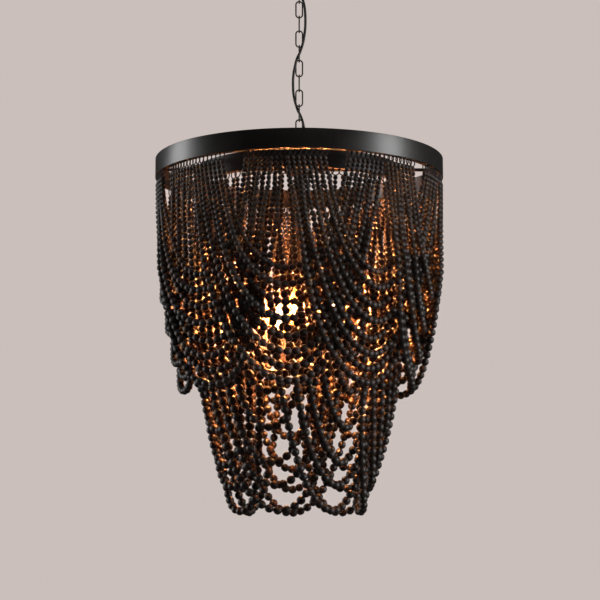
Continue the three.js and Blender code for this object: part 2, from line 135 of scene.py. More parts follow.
def stained_beech():
    # Turned beech, stained black-brown and rubbed with wax: the stain takes unevenly, so some beads are
    # browner, and a dull wax gives each one a soft, dim highlight. The grain is about 1.5 mm wide.
    material, tree, shader = new_material("stained_beech")
    place = add_node(tree, "ShaderNodeTexCoord").outputs["Object"]
    tone = add_node(tree, "ShaderNodeAttribute", attribute_name="stain")
    grain = add_node(tree, "ShaderNodeTexNoise", {"Scale": 650, "Detail": 3}, {"Vector": place})
    depth = add_node(
        tree,
        "ShaderNodeMath",
        {1: 0.35},
        {0: grain.outputs["Fac"], 2: tone.outputs["Fac"]},
        operation="MULTIPLY_ADD",
    )
    colour = two_tones(tree, depth.outputs["Value"], "#120e0c", "#2a211a", 0.1, 1.1)
    tree.links.new(colour, shader.inputs["Base Color"])
    rough = add_node(
        tree, "ShaderNodeMapRange", {"To Min": 0.32, "To Max": 0.5}, {"Value": grain.outputs["Fac"]}
    )
    tree.links.new(rough.outputs["Result"], shader.inputs["Roughness"])
    bump = add_node(
        tree, "ShaderNodeBump", {"Strength": 0.15, "Distance": 0.0003}, {"Height": grain.outputs["Fac"]}
    )
    tree.links.new(bump.outputs["Normal"], shader.inputs["Normal"])
    return material


def waxed_thread():
    # Twisted polyester thread drawn through dark wax: dull, with strands every 0.5 mm.
    material, tree, shader = new_material("waxed_thread", roughness=0.75)
    place = add_node(tree, "ShaderNodeTexCoord").outputs["Object"]
    strands = add_node(tree, "ShaderNodeTexNoise", {"Scale": 2000, "Detail": 1}, {"Vector": place})
    tree.links.new(two_tones(tree, strands.outputs["Fac"], "#0e0c0b", "#26201b"), shader.inputs["Base Color"])
    return material


def pvc_sheath():
    # Extruded PVC over round flex: soft black, slightly dusty, faintly rippled along its length.
    material, tree, shader = new_material("pvc_sheath")
    place = add_node(tree, "ShaderNodeTexCoord").outputs["Object"]
    dust = add_node(tree, "ShaderNodeTexNoise", {"Scale": 120, "Detail": 5}, {"Vector": place})
    tree.links.new(two_tones(tree, dust.outputs["Fac"], "#131211", "#262321"), shader.inputs["Base Color"])
    rough = add_node(
        tree, "ShaderNodeMapRange", {"To Min": 0.4, "To Max": 0.6}, {"Value": dust.outputs["Fac"]}
    )
    tree.links.new(rough.outputs["Result"], shader.inputs["Roughness"])
    bump = add_node(
        tree, "ShaderNodeBump", {"Strength": 0.1, "Distance": 0.0003}, {"Height": dust.outputs["Fac"]}
    )
    tree.links.new(bump.outputs["Normal"], shader.inputs["Normal"])
    return material


def moulded_nylon():
    # Moulded black nylon with a fine spark-eroded texture, about 0.4 mm between peaks.
    material, tree, shader = new_material("moulded_nylon", roughness=0.55)
    place = add_node(tree, "ShaderNodeTexCoord").outputs["Object"]
    texture = add_node(tree, "ShaderNodeTexNoise", {"Scale": 2500}, {"Vector": place})
    tree.links.new(two_tones(tree, texture.outputs["Fac"], "#141414", "#222120"), shader.inputs["Base Color"])
    bump = add_node(
        tree, "ShaderNodeBump", {"Strength": 0.2, "Distance": 0.0002}, {"Height": texture.outputs["Fac"]}
    )
    tree.links.new(bump.outputs["Normal"], shader.inputs["Normal"])
    return material


def zinc_plate():
    # Bright zinc over pressed steel: pale grey with a cloudy spangle a few millimetres across.
    material, tree, shader = new_material("zinc_plate", metallic=1.0)
    place = add_node(tree, "ShaderNodeTexCoord").outputs["Object"]
    spangle = add_node(tree, "ShaderNodeTexVoronoi", {"Scale": 220}, {"Vector": place})
    shade = two_tones(tree, spangle.outputs["Distance"], "#b4b4b0", "#cfcfca", 0.1, 0.8)
    tree.links.new(shade, shader.inputs["Base Color"])
    rough = add_node(
        tree, "ShaderNodeMapRange", {"To Min": 0.28, "To Max": 0.5}, {"Value": spangle.outputs["Distance"]}
    )
    tree.links.new(rough.outputs["Result"], shader.inputs["Roughness"])
    return material


def nickel_cap():
    # Spun nickel-plated lamp cap: bright, with turning marks about 0.6 mm apart.
    material, tree, shader = new_material("nickel_cap", metallic=1.0, roughness=0.3)
    place = add_node(tree, "ShaderNodeTexCoord").outputs["Object"]
    marks = add_node(
        tree, "ShaderNodeTexWave", {"Scale": 500}, {"Vector": place}, wave_type="BANDS", bands_direction="Z"
    )
    tree.links.new(two_tones(tree, marks.outputs["Fac"], "#a8a297", "#c9c3b8"), shader.inputs["Base Color"])
    return material


def amber_glass():
    # Thin blown glass with a warm inner coat. Most of the filament's light goes straight through it, and
    # the coat scatters some, so that the glass glows orange, a little unevenly.
    material, tree, shader = new_material(
        "amber_glass", roughness=0.12, ior=1.5, alpha=0.35, emission_strength=1.5
    )
    place = add_node(tree, "ShaderNodeTexCoord").outputs["Object"]
    cloud = add_node(tree, "ShaderNodeTexNoise", {"Scale": 60, "Detail": 2}, {"Vector": place})
    tree.links.new(two_tones(tree, cloud.outputs["Fac"], "#e0863a", "#f3a24f"), shader.inputs["Base Color"])
    glow = two_tones(tree, cloud.outputs["Fac"], "#ff9a4c", "#ffb070")
    tree.links.new(glow, shader.inputs["Emission Color"])
    return material


def phosphor_stick():
    # The lamp's filaments are thin sticks under phosphor: white to the eye, with a warm amber light.
    material, tree, shader = new_material("phosphor_stick", emission_strength=6500.0)
    shader.inputs["Base Color"].default_value = linear("#ffb066")
    shader.inputs["Emission Color"].default_value = linear("#ff9c59")
    return material


STEEL = powder_coated_steel()
BEECH = stained_beech()
THREAD = waxed_thread()
SHEATH = pvc_sheath()
NYLON = moulded_nylon()
ZINC = zinc_plate()
NICKEL = nickel_cap()
GLASS = amber_glass()
PHOSPHOR = phosphor_stick()


# Making and finishing


def deselect():
    bpy.ops.object.select_all(action="DESELECT")


def select_only(*pieces):
    deselect()
    for piece in pieces:
        piece.select_set(True)
    bpy.context.view_layer.objects.active = pieces[0]


def apply_place(piece):
    select_only(piece)
    bpy.ops.object.transform_apply(location=True, rotation=True, scale=True)
    return piece


def edit(piece, kind="VERT", chosen=None):
    """Opens a piece for editing with its vertices, edges or faces selected: all of them, or those that
    the function called chosen picks."""
    select_only(piece)
    bpy.context.tool_settings.mesh_select_mode = (kind == "VERT", kind == "EDGE", kind == "FACE")
    bpy.ops.object.mode_set(mode="EDIT")
    bpy.ops.mesh.select_all(action="DESELECT" if chosen else "SELECT")
    if chosen:
        bpy.ops.object.mode_set(mode="OBJECT")
        for corner_or_face in piece.data.vertices if kind == "VERT" else piece.data.polygons:
            corner_or_face.select = chosen(corner_or_face)
        bpy.ops.object.mode_set(mode="EDIT")


def done():
    bpy.ops.object.mode_set(mode="OBJECT")


def turned(profile, sides):
    """Turns a profile of (radius, height) points about the vertical axis: a circle is drawn at the first
    point, then extruded and resized from point to point. A profile that ends where it began is a ring."""
    deselect()
    first = 1 if profile[0][0] == 0 else 0
    radius, height = profile[first]
    bpy.ops.mesh.primitive_circle_add(vertices=sides, radius=radius, location=(0, 0, height))
    piece = apply_place(bpy.context.object)
    edit(piece)
    for next_radius, next_height in profile[first + 1 :]:
        lift = {"value": (0, 0, next_height - height)}
        bpy.ops.mesh.extrude_edges_move(TRANSFORM_OT_translate=lift)
        if next_radius == 0:
            bpy.ops.mesh.merge(type="CENTER")
            break
        grow = next_radius / radius
        bpy.ops.transform.resize(value=(grow, grow, 1), center_override=(0, 0, next_height))
        radius, height = next_radius, next_height
    if first:
        bpy.ops.mesh.select_all(action="DESELECT")
        bpy.ops.mesh.select_non_manifold()
        lift = {"value": (0, 0, profile[0][1] - profile[1][1])}
        bpy.ops.mesh.extrude_edges_move(TRANSFORM_OT_translate=lift)
        bpy.ops.mesh.merge(type="CENTER")
    bpy.ops.mesh.select_all(action="SELECT")
    bpy.ops.mesh.remove_doubles(threshold=1e-6)
    bpy.ops.mesh.normals_make_consistent(inside=False)
    done()
    return piece


def wire(points, radius, roundness):
    """A round wire along a list of points."""
    curve = bpy.data.curves.new("wire", "CURVE")
    curve.dimensions = "3D"
    curve.bevel_depth = radius
    curve.bevel_resolution = roundness
    curve.use_fill_caps = True
    spline = curve.splines.new("POLY")
    spline.points.add(len(points) - 1)
    for knot, point in zip(spline.points, points):
        knot.co = (*point, 1)
    piece = bpy.data.objects.new("wire", curve)
    bpy.context.scene.collection.objects.link(piece)
    select_only(piece)
    bpy.ops.object.convert(target="MESH")
    return bpy.context.object


def oval_ring(width, length, thickness):
    """A ring of round wire standing in the XZ plane, drawn out to its length by moving its halves apart."""
    deselect()
    steps = 28
    bend = (width - thickness) / 2
    bpy.ops.mesh.primitive_torus_add(
        major_radius=bend,
        minor_radius=thickness / 2,
        major_segments=steps,
        minor_segments=12,
        rotation=(0, 0, math.pi / steps),
    )
    piece = apply_place(bpy.context.object)
    piece.rotation_euler.x = math.pi / 2
    apply_place(piece)
    stretch = (length - width) / 2
    if stretch > 1e-6:
        for side in (1, -1):
            edit(piece, chosen=lambda corner: corner.co.z * side > 0)
            bpy.ops.transform.translate(value=(0, 0, side * stretch))
            done()
    return piece


def joined(*pieces):
    select_only(*pieces)
    bpy.ops.object.join()
    return bpy.context.view_layer.objects.active


def moved(piece, x=0, y=0, z=0, turn=0):
    """Turns a piece about the vertical axis, shifts it, and puts both into its mesh."""
    piece.data.transform(Matrix.Translation((x, y, z)) @ Matrix.Rotation(turn, 4, "Z"))
    return piece


def copied(piece, x=0, y=0, z=0, turn=0):
    twin = piece.copy()
    twin.data = piece.data.copy()
    bpy.context.scene.collection.objects.link(twin)
    return moved(twin, x, y, z, turn)


def eased(piece, width):
    """Rounds every sharp edge."""
    select_only(piece)
    bevel = piece.modifiers.new("eased_edges", "BEVEL")
    bevel.width = width
    bevel.segments = 2
    bevel.limit_method = "ANGLE"
    bevel.angle_limit = math.radians(40)
    bpy.ops.object.modifier_apply(modifier=bevel.name)
    return piece


def finished(piece, name, material, body, replaces=()):
    """Names a piece, smooths and paints it, and puts it on the body that carries it."""
    piece.name = name
    select_only(piece)
    bpy.ops.object.shade_smooth_by_angle(angle=math.radians(40))
    piece.data.materials.clear()
    piece.data.materials.append(material)
    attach(piece, body)
    if replaces:
        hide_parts(*replaces)


def polar(radius, angle, height):
    """A point at a distance from the axis, at an angle counted from the front towards the right."""
    return Vector((radius * math.sin(angle), -radius * math.cos(angle), height))


def middle(node):
    low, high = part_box(node)
    return (low + high) / 2


# Ceiling fixing

strap_low, strap_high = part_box("ceiling_bracket")
canopy_low, canopy_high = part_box("canopy")
loop_low, loop_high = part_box("canopy_loop")


def pressed_bracket():
    """A flat strap with both ends folded down and two screw slots."""
    deselect()
    thickness = 3 * MM
    size = strap_high - strap_low
    bpy.ops.mesh.primitive_cube_add(size=1, location=(0, 0, -thickness / 2))
    strap = bpy.context.object
    strap.scale = (size.x, size.y, thickness)
    apply_place(strap)
    edit(strap)
    for side in (-1, 1):
        bpy.ops.mesh.select_all(action="SELECT")
        bpy.ops.mesh.bisect(plane_co=(side * (size.x / 2 - thickness), 0, 0), plane_no=(1, 0, 0))
    done()
    edit(strap, "FACE", lambda face: face.normal.z < -0.9 and abs(face.center.x) > size.x / 2 - thickness)
    fold = {"value": (0, 0, -(size.z - thickness))}
    bpy.ops.mesh.extrude_region_move(TRANSFORM_OT_translate=fold)
    done()
    for side in (-1, 1):
        bpy.ops.mesh.primitive_cube_add(size=1, location=(side * 27 * MM, 0, -thickness / 2))
        slot = bpy.context.object
        slot.scale = (14 * MM, 5 * MM, 3 * thickness)
        apply_place(slot)
        cut = strap.modifiers.new("slot", "BOOLEAN")
        cut.object = slot
        cut.operation = "DIFFERENCE"
        select_only(strap)
        bpy.ops.object.modifier_apply(modifier=cut.name)
        bpy.data.objects.remove(slot)
    return eased(strap, 0.5 * MM)


finished(pressed_bracket(), "pressed_bracket", ZINC, "ceiling_fixing", ["ceiling_bracket"])


def threaded_stud():
    low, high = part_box("threaded_nipple")
    nut_foot = high.z - 5 * MM
    half_pitch = 0.75 * MM
    profile = [(0, low.z), (4.3 * MM, low.z)]
    height = low.z + half_pitch
    crest = True
    while height < nut_foot - 0.5 * MM:
        profile.append(((5 if crest else 4.4) * MM, height))
        crest = not crest
        height += half_pitch
    profile += [(4.6 * MM, nut_foot), (4.6 * MM, high.z), (0, high.z)]
    nut = turned([(4.6 * MM, nut_foot), (9 * MM, nut_foot), (9 * MM, high.z), (4.6 * MM, high.z),
                  (4.6 * MM, nut_foot)], 6)
    return joined(turned(profile, 20), eased(nut, 0.5 * MM))


finished(threaded_stud(), "threaded_stud", ZINC, "ceiling_fixing", ["threaded_nipple"])


def spun_canopy():
    """A shallow spun bowl with a rolled lip, closed towards the room."""
    floor = canopy_low.z
    rim = canopy_high.z
    wall = 1.2 * MM
    bore = 5.3 * MM
    corner = 14 * MM
    straight = canopy_high.x - corner
    outer = [(bore, floor)]
    inner = []
    for i in range(9):
        turn = math.pi / 2 * i / 8
        outer.append((straight + corner * math.sin(turn), floor + corner * (1 - math.cos(turn))))
        inner.append((straight + (corner - wall) * math.sin(turn),
                      floor + corner - (corner - wall) * math.cos(turn)))
    lip = [(canopy_high.x, rim - 0.6 * MM), (canopy_high.x - wall / 2, rim),
           (canopy_high.x - wall, rim - 0.6 * MM)]
    profile = outer + lip + inner[::-1] + [(bore, floor + wall), (bore, floor)]
    return turned(profile, 96)


finished(spun_canopy(), "spun_canopy", STEEL, "ceiling_fixing", ["canopy"])

# The flex leaves the canopy on the left and enters the wiring hub on the right.
BUSH_X = -24 * MM
GLAND_X = 18 * MM


def flex_bush():
    low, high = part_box("cord_grommet")
    lip = low.z + 2.2 * MM
    bush = turned([(3.1 * MM, low.z), (5.6 * MM, low.z), (6.3 * MM, low.z + 0.6 * MM), (6.4 * MM, lip),
                   (4.8 * MM, lip), (4.8 * MM, high.z), (3.1 * MM, high.z), (3.1 * MM, low.z)], 32)
    return moved(bush, x=BUSH_X)


finished(flex_bush(), "flex_bush", NYLON, "ceiling_fixing", ["cord_grommet"])

EYE_WIDTH = 24 * MM
EYE_WIRE = 4 * MM


def ceiling_eye():
    """The domed nut under the canopy and the welded eye that the chain hangs on."""
    top = loop_high.z
    foot = top - 8 * MM
    nut = turned([(0, foot), (5.5 * MM, foot), (8 * MM, foot + 0.9 * MM), (11.4 * MM, foot + 3 * MM),
                  (12.9 * MM, foot + 5.5 * MM), (12.9 * MM, top - 0.5 * MM), (12.4 * MM, top), (0, top)], 48)
    ring = moved(oval_ring(EYE_WIDTH, EYE_WIDTH, EYE_WIRE), z=loop_low.z + EYE_WIDTH / 2)
    return joined(nut, ring)


finished(ceiling_eye(), "ceiling_eye", STEEL, "ceiling_fixing", ["canopy_loop"])


# Chain

LINKS = 11
link = oval_ring(17 * MM, 38.4 * MM, 3 * MM)
for i in range(LINKS):
    number = f"{i + 1:02d}"
    place = middle("chain_link_" + number)
    twin = copied(link, z=place.z, turn=0 if i % 2 else math.pi / 2)
    finished(twin, "link_" + number, STEEL, "link_" + number, ["chain_link_" + number])
bpy.data.objects.remove(link)


# Frame of the shade

cap_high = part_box("hanging_eye")[1]
stem_low, stem_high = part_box("stem")
hub_low, hub_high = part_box("wiring_hub")
hoop_low, hoop_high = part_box("outer_hoop")
inner_low, inner_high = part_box("inner_hoop")


def hanging_cap():
    foot = stem_high.z + 0.3 * MM
    top = foot + 7 * MM
    cap = turned([(0, foot - 12 * MM), (3.9 * MM, foot - 12 * MM), (3.9 * MM, foot), (8.6 * MM, foot),
                  (9 * MM, foot + 0.5 * MM), (9 * MM, foot + 3.6 * MM), (8 * MM, foot + 5.4 * MM),
                  (5.6 * MM, top), (0, top)], 40)
    ring = moved(oval_ring(EYE_WIDTH, EYE_WIDTH, EYE_WIRE), z=cap_high.z - EYE_WIDTH / 2)
    return joined(cap, ring)


finished(hanging_cap(), "hanging_cap", STEEL, "shade", ["hanging_eye"])

stem = turned([(4.2 * MM, stem_low.z), (5.7 * MM, stem_low.z), (6 * MM, stem_low.z + 0.3 * MM),
               (6 * MM, stem_high.z - 0.3 * MM), (5.7 * MM, stem_high.z), (4.2 * MM, stem_high.z),
               (4.2 * MM, stem_low.z)], 40)
finished(stem, "stem_tube", STEEL, "shade", ["stem"])


def wiring_hub():
    """A turned disc with eased rims, a groove at its waist and three cover screws."""
    low, high = hub_low.z, hub_high.z
    waist = (low + high) / 2
    disc = turned([(6.3 * MM, low), (27.5 * MM, low), (29.4 * MM, low + 0.9 * MM), (30 * MM, low + 2.6 * MM),
                   (30 * MM, waist - 1 * MM), (29.2 * MM, waist - 0.6 * MM), (29.2 * MM, waist + 0.6 * MM),
                   (30 * MM, waist + 1 * MM), (30 * MM, high - 2.6 * MM), (29.4 * MM, high - 0.9 * MM),
                   (27.5 * MM, high), (6.3 * MM, high), (6.3 * MM, low)], 72)
    screw = turned([(0, low - 1.4 * MM), (1.5 * MM, low - 1.3 * MM), (2.6 * MM, low - 0.6 * MM),
                    (2.8 * MM, low), (0, low + 0.2 * MM)], 16)
    screws = [copied(screw, *polar(20 * MM, math.radians(45 + 120 * i), 0)) for i in range(3)]
    bpy.data.objects.remove(screw)
    return joined(disc, *screws)


finished(wiring_hub(), "wiring_hub_disc", STEEL, "shade", ["wiring_hub"])


def flex_gland():
    low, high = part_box("cord_gland")
    seat = hub_high.z
    gland = turned([(3.1 * MM, low.z), (4.4 * MM, low.z), (4.4 * MM, seat + 0.3 * MM),
                    (5 * MM, seat + 0.3 * MM), (5 * MM, seat + 6 * MM), (4.7 * MM, high.z - 0.8 * MM),
                    (3.9 * MM, high.z), (3.1 * MM, high.z), (3.1 * MM, low.z)], 32)
    return moved(gland, x=GLAND_X)


finished(flex_gland(), "flex_gland", NYLON, "shade", ["cord_gland"])


def rolled_hoop(radius, low, high):
    """A flat band rolled into a hoop, with its lower edge turned in as the flange that the threads are tied
    round, and both free edges eased."""
    wall = 2 * MM
    flange = 13 * MM
    ease = 0.5 * MM
    profile = [
        (radius - flange + ease, low), (radius - 1.2 * MM, low), (radius - 0.35 * MM, low + 0.35 * MM),
        (radius, low + 1.2 * MM), (radius, high - ease), (radius - ease, high), (radius - wall + ease, high),
        (radius - wall, high - ease), (radius - wall, low + wall), (radius - flange + ease, low + wall),
        (radius - flange, low + wall - ease), (radius - flange, low + ease), (radius - flange + ease, low),
    ]
    return turned(profile, 240)


OUTER_RADIUS = 300 * MM
INNER_RADIUS = 216 * MM
finished(rolled_hoop(OUTER_RADIUS, hoop_low.z, hoop_high.z), "outer_band", STEEL, "shade",
         ["outer_hoop"])
finished(rolled_hoop(INNER_RADIUS, inner_low.z, inner_high.z), "inner_band", STEEL, "shade",
         ["inner_hoop"])


def spoke():
    """A flat bar from the hub, turned down at its outer end and riveted to the hoop."""
    low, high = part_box("spoke_2")
    thickness = 5 * MM
    foot = 3 * MM
    deselect()
    bpy.ops.mesh.primitive_cube_add(size=1, location=((low.x + high.x) / 2, 0, high.z - thickness / 2))
    bar = bpy.context.object
    bar.scale = (high.x - low.x, high.y - low.y, thickness)
    apply_place(bar)
    edit(bar)
    bpy.ops.mesh.bisect(plane_co=(high.x - foot, 0, 0), plane_no=(1, 0, 0))
    done()
    edit(bar, "FACE", lambda face: face.normal.z < -0.9 and face.center.x > high.x - foot)
    fold = {"value": (0, 0, -(high.z - low.z - thickness))}
    bpy.ops.mesh.extrude_region_move(TRANSFORM_OT_translate=fold)
    done()
    eased(bar, 0.7 * MM)
    rivet = turned([(0, -1.2 * MM), (1.4 * MM, -1 * MM), (2.6 * MM, -0.4 * MM), (3 * MM, 0),
                    (0, 0.4 * MM)], 20)
    seat = Matrix.Translation((high.x - foot, 0, low.z + 6 * MM))
    rivet.data.transform(seat @ Matrix.Rotation(math.pi / 2, 4, "Y"))
    return joined(bar, rivet)


bar = spoke()
for i in range(4):
    twin = copied(bar, turn=math.pi / 2 * (i - 1))
    finished(twin, f"spoke_bar_{i + 1}", STEEL, "shade", [f"spoke_{i + 1}"])
bpy.data.objects.remove(bar)


# Lamp cluster

cluster_low, cluster_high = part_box("lamp_hub")
finial_low, finial_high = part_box("finial")
cluster_middle = (cluster_low.z + cluster_high.z) / 2

# The lamps stand in a circle at this radius, and the first one is this far from the front, in degrees.
LAMPS = 5
LAMP_RADIUS = 80 * MM
FIRST_LAMP = -77


def lamp_body():
    """The turned body that the arms grow from, widest at its middle."""
    low, high = cluster_low.z, cluster_high.z
    return turned([(0, low), (10.5 * MM, low), (11.6 * MM, low + 1.4 * MM), (13 * MM, low + 4.4 * MM),
                   (16.4 * MM, low + 8.4 * MM), (18.6 * MM, low + 11.4 * MM), (19 * MM, low + 14 * MM),
                   (19 * MM, high - 14 * MM), (18.6 * MM, high - 11.4 * MM), (16.4 * MM, high - 8.4 * MM),
                   (13 * MM, high - 4.4 * MM), (11.6 * MM, high - 1.4 * MM), (10.5 * MM, high),
                   (6.3 * MM, high), (6.3 * MM, high - 11.7 * MM), (0, high - 11.7 * MM)], 64)


finished(lamp_body(), "lamp_body", STEEL, "shade", ["lamp_hub"])


def turned_finial():
    low, high = finial_low.z, finial_high.z
    radius = 9 * MM
    ball = []
    for i in range(11):
        turn = math.pi * i / 13
        ball.append((radius * math.sin(turn), low + radius * (1 - math.cos(turn))))
    return turned(ball + [(4 * MM, high - 6 * MM), (4.4 * MM, high - 4.4 * MM), (6 * MM, high - 1.6 * MM),
                          (8 * MM, high), (0, high)], 48)


finished(turned_finial(), "turned_finial", STEEL, "shade", ["finial"])


def smooth_route(points, steps):
    """Points along a smooth curve through the given ones, closer together where these are."""
    route = []
    ends = [points[0] * 2 - points[1], *points, points[-1] * 2 - points[-2]]
    for i in range(1, len(ends) - 2):
        p0, p1, p2, p3 = ends[i - 1 : i + 3]
        t1 = max((p1 - p0).length, 1e-9) ** 0.5
        t2 = t1 + max((p2 - p1).length, 1e-9) ** 0.5
        t3 = t2 + max((p3 - p2).length, 1e-9) ** 0.5
        for k in range(steps):
            t = t1 + (t2 - t1) * k / steps
            a1 = p0 * (t1 - t) / t1 + p1 * t / t1
            a2 = p1 * (t2 - t) / (t2 - t1) + p2 * (t - t1) / (t2 - t1)
            a3 = p2 * (t3 - t) / (t3 - t2) + p3 * (t - t2) / (t3 - t2)
            b1 = a1 * (t2 - t) / t2 + a2 * t / t2
            b2 = a2 * (t3 - t) / (t3 - t1) + a3 * (t - t1) / (t3 - t1)
            route.append(b1 * (t2 - t) / (t2 - t1) + b2 * (t - t1) / (t2 - t1))
    return route + [points[-1]]


def lamp_arm():
    """An arm that dips away from the lamp body and rises into the dished cup under a candle sleeve. It is
    drawn towards the front and turned to its place."""
    foot = cluster_middle + 5 * MM
    top = foot + 11 * MM
    root = 19.3 * MM
    reach = LAMP_RADIUS - root
    dip = cluster_middle - 14 * MM
    points = [
        Vector((0, -root, cluster_middle)),
        Vector((0, -root - reach * 0.1, cluster_middle)),
        Vector((0, -root - reach * 0.35, cluster_middle - 9.8 * MM)),
        Vector((0, -root - reach * 0.65, dip)),
        Vector((0, -root - reach * 0.9, cluster_middle - 7 * MM)),
        Vector((0, -LAMP_RADIUS, foot + 3 * MM)),
    ]
    tube = wire(smooth_route(points, 6), 3.5 * MM, 3)
    cup = turned([(0, foot), (5.4 * MM, foot), (7 * MM, foot + 0.5 * MM), (10.4 * MM, foot + 3 * MM),
                  (15 * MM, foot + 6.2 * MM), (16.8 * MM, top - 2.4 * MM), (17 * MM, top - 0.6 * MM),
                  (16.4 * MM, top), (13.2 * MM, top), (13 * MM, top - 0.8 * MM), (0, top - 0.8 * MM)], 48)
    return joined(tube, moved(cup, y=-LAMP_RADIUS))


def candle_sleeve():
    low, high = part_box("candle_sleeve_1")
    return turned([(0, low.z), (12.1 * MM, low.z), (12.5 * MM, low.z + 0.4 * MM),
                   (12.5 * MM, high.z - 0.4 * MM), (12.1 * MM, high.z), (11.5 * MM, high.z),
                   (11.1 * MM, high.z - 0.4 * MM), (11.1 * MM, high.z - 6 * MM), (7.3 * MM, high.z - 6 * MM),
                   (7.3 * MM, high.z - 26.3 * MM), (0, high.z - 26.3 * MM)], 48)


def candle_bulb():
    """A flame-tip lamp: nickel screw cap, blown glass drawn to a point, and four glowing sticks round a
    glass stalk."""
    low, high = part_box("bulb_1")
    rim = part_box("candle_sleeve_1")[1].z
    glass_height = high.z - rim
    wide = 17.4 * MM
    cap_profile = [(0, low.z), (2.4 * MM, low.z), (5.6 * MM, low.z + 2.4 * MM)]
    height = low.z + 3.4 * MM
    half_pitch = 1.6 * MM
    crest = True
    while height < rim - 2 * MM:
        cap_profile.append(((7 if crest else 6.4) * MM, height))
        crest = not crest
        height += half_pitch
    cap_profile += [(6.8 * MM, rim + 0.5 * MM), (0, rim + 0.5 * MM)]
    cap = turned(cap_profile, 32)
    shares = [(0.39, 0.0), (0.5, 0.02), (0.62, 0.06), (0.78, 0.12), (0.91, 0.19), (0.98, 0.27), (1.0, 0.34),
              (0.98, 0.42), (0.9, 0.5), (0.77, 0.59), (0.62, 0.67), (0.46, 0.74), (0.32, 0.81),
              (0.21, 0.87), (0.13, 0.93), (0.07, 0.975), (0, 1.0)]
    glass = turned([(r * wide, rim + h * glass_height) for r, h in shares], 40)
    sticks = []
    for i in range(4):
        x, y = polar(5.5 * MM, math.radians(45 + 90 * i), 0).xy
        foot = Vector((x * 0.6, y * 0.6, rim + glass_height * 0.18))
        sticks.append(wire([foot, Vector((x, y, rim + glass_height * 0.6))], 1.1 * MM, 1))
    filament = joined(*sticks)
    stalk = turned([(0, rim), (3.4 * MM, rim + 0.6 * MM), (2.4 * MM, rim + 6 * MM),
                    (1.2 * MM, rim + glass_height * 0.2), (0, rim + glass_height * 0.21)], 16)
    return cap, glass, filament, stalk


first_arm = lamp_arm()
first_sleeve = candle_sleeve()
first_cap, first_glass, first_filament, first_stalk = candle_bulb()
for i in range(LAMPS):
    number = i + 1
    angle = math.radians(FIRST_LAMP + 360 / LAMPS * i)
    seat = polar(LAMP_RADIUS, angle, 0)
    finished(copied(first_arm, turn=angle), f"arm_{number}", STEEL, "shade",
             [f"lamp_arm_{number}"])
    finished(copied(first_sleeve, *seat), f"sleeve_{number}", STEEL, "shade",
             [f"candle_sleeve_{number}"])
    finished(copied(first_glass, *seat), f"glass_{number}", GLASS, "shade",
             [f"bulb_{number}"])
    finished(copied(first_cap, *seat), f"cap_{number}", NICKEL, "shade")
    finished(copied(first_filament, *seat), f"filament_{number}", PHOSPHOR, "shade")
    finished(copied(first_stalk, *seat), f"stalk_{number}", GLASS, "shade")
for piece in (first_arm, first_sleeve, first_cap, first_glass, first_filament, first_stalk):
    bpy.data.objects.remove(piece)


# Strings of beads

# The strings hang in a circle this far inside the hoop's face, and their ends are this far under the hoop.
ROW_INSET = 4.5 * MM
THREAD_DROP = 13 * MM

# The thread has this radius. A ring of it reaches this far over the flange's underside and leans this far
# in and out.
THREAD_RADIUS = 1.25 * MM
RING_TOP = 2.6 * MM
RING_LEAN = 1.3 * MM

# A bead is a ball cut flat at this share of its radius. Beads are small at the hoop and grow over this
# length to the full radius of their tier.
BEAD_FLATNESS = 0.94
SMALL_BEAD = 5 * MM
BEAD_GROWTH_START = 30 * MM
BEAD_GROWTH_LENGTH = 300 * MM

# Where strings cross, each is pushed aside: by this much at the hoop, and lower down also by a bead's radius
# and a gap, in full from this drop on. The push changes sides within this share of a half string.
HOOP_PUSH = 2.5 * MM
BEAD_GAP = 0.5 * MM
PUSH_LENGTH = 200 * MM
CROSSING_SHARE = 0.22

# The strings sway by up to this much, in about five waves to the metre. The sway and the stagger grow from
# the hoop to this drop. The steps are how far apart neighbouring strings and swags are in the noise: near
# strings sway alike, and swags don't.
SWAY = 8 * MM
SWAY_DENSITY = 5
SETTLING_LENGTH = 150 * MM
STRING_STEP = 0.5
SWAG_STEP = 100

# Angles are in degrees: the middle of the first swag, half of what the innermost string spans, what each
# next string adds to that, and half the width of a thread ring. The shares are the strings' depths, from
# the shallowest to the deepest. The draw is how the tier tapers in towards its foot.
UPPER = {
    "name": "upper_swag", "count": 9, "first": -5.5, "inner_span": 25, "span_step": 2, "shallow": 228 * MM,
    "deep": 443 * MM, "draw_share": 0.22, "draw_power": 1.6, "stagger": 5 * MM,
    "shares": (0, 0.15, 0.3, 0.45, 0.6, 0.74, 0.87, 1), "hoop": OUTER_RADIUS, "foot": hoop_low.z,
    "ring_reach": 1.2, "bead": 8.6 * MM,
}
LOWER = {
    "name": "lower_swag", "count": 7, "first": 33, "inner_span": 9.18, "span_step": 7.347,
    "shallow": 290 * MM, "deep": 670 * MM, "draw_share": 0.41, "draw_power": 2.6, "stagger": 0,
    "shares": (0, 0.2, 0.39, 0.575, 0.755, 0.87, 1), "hoop": INNER_RADIUS, "foot": inner_low.z,
    "ring_reach": 2.05, "bead": 9.1 * MM,
}


def ease(share):
    x = min(max(share, 0), 1)
    return x * x * (3 - 2 * x)


def catenary(half_span, depth):
    """The parameter of the catenary that spans twice half_span and hangs depth below its ends."""
    low, high = half_span / 50, half_span * 50
    for _ in range(60):
        guess = (low + high) / 2
        if guess * (math.cosh(half_span / guess) - 1) > depth:
            low = guess
        else:
            high = guess
    return low


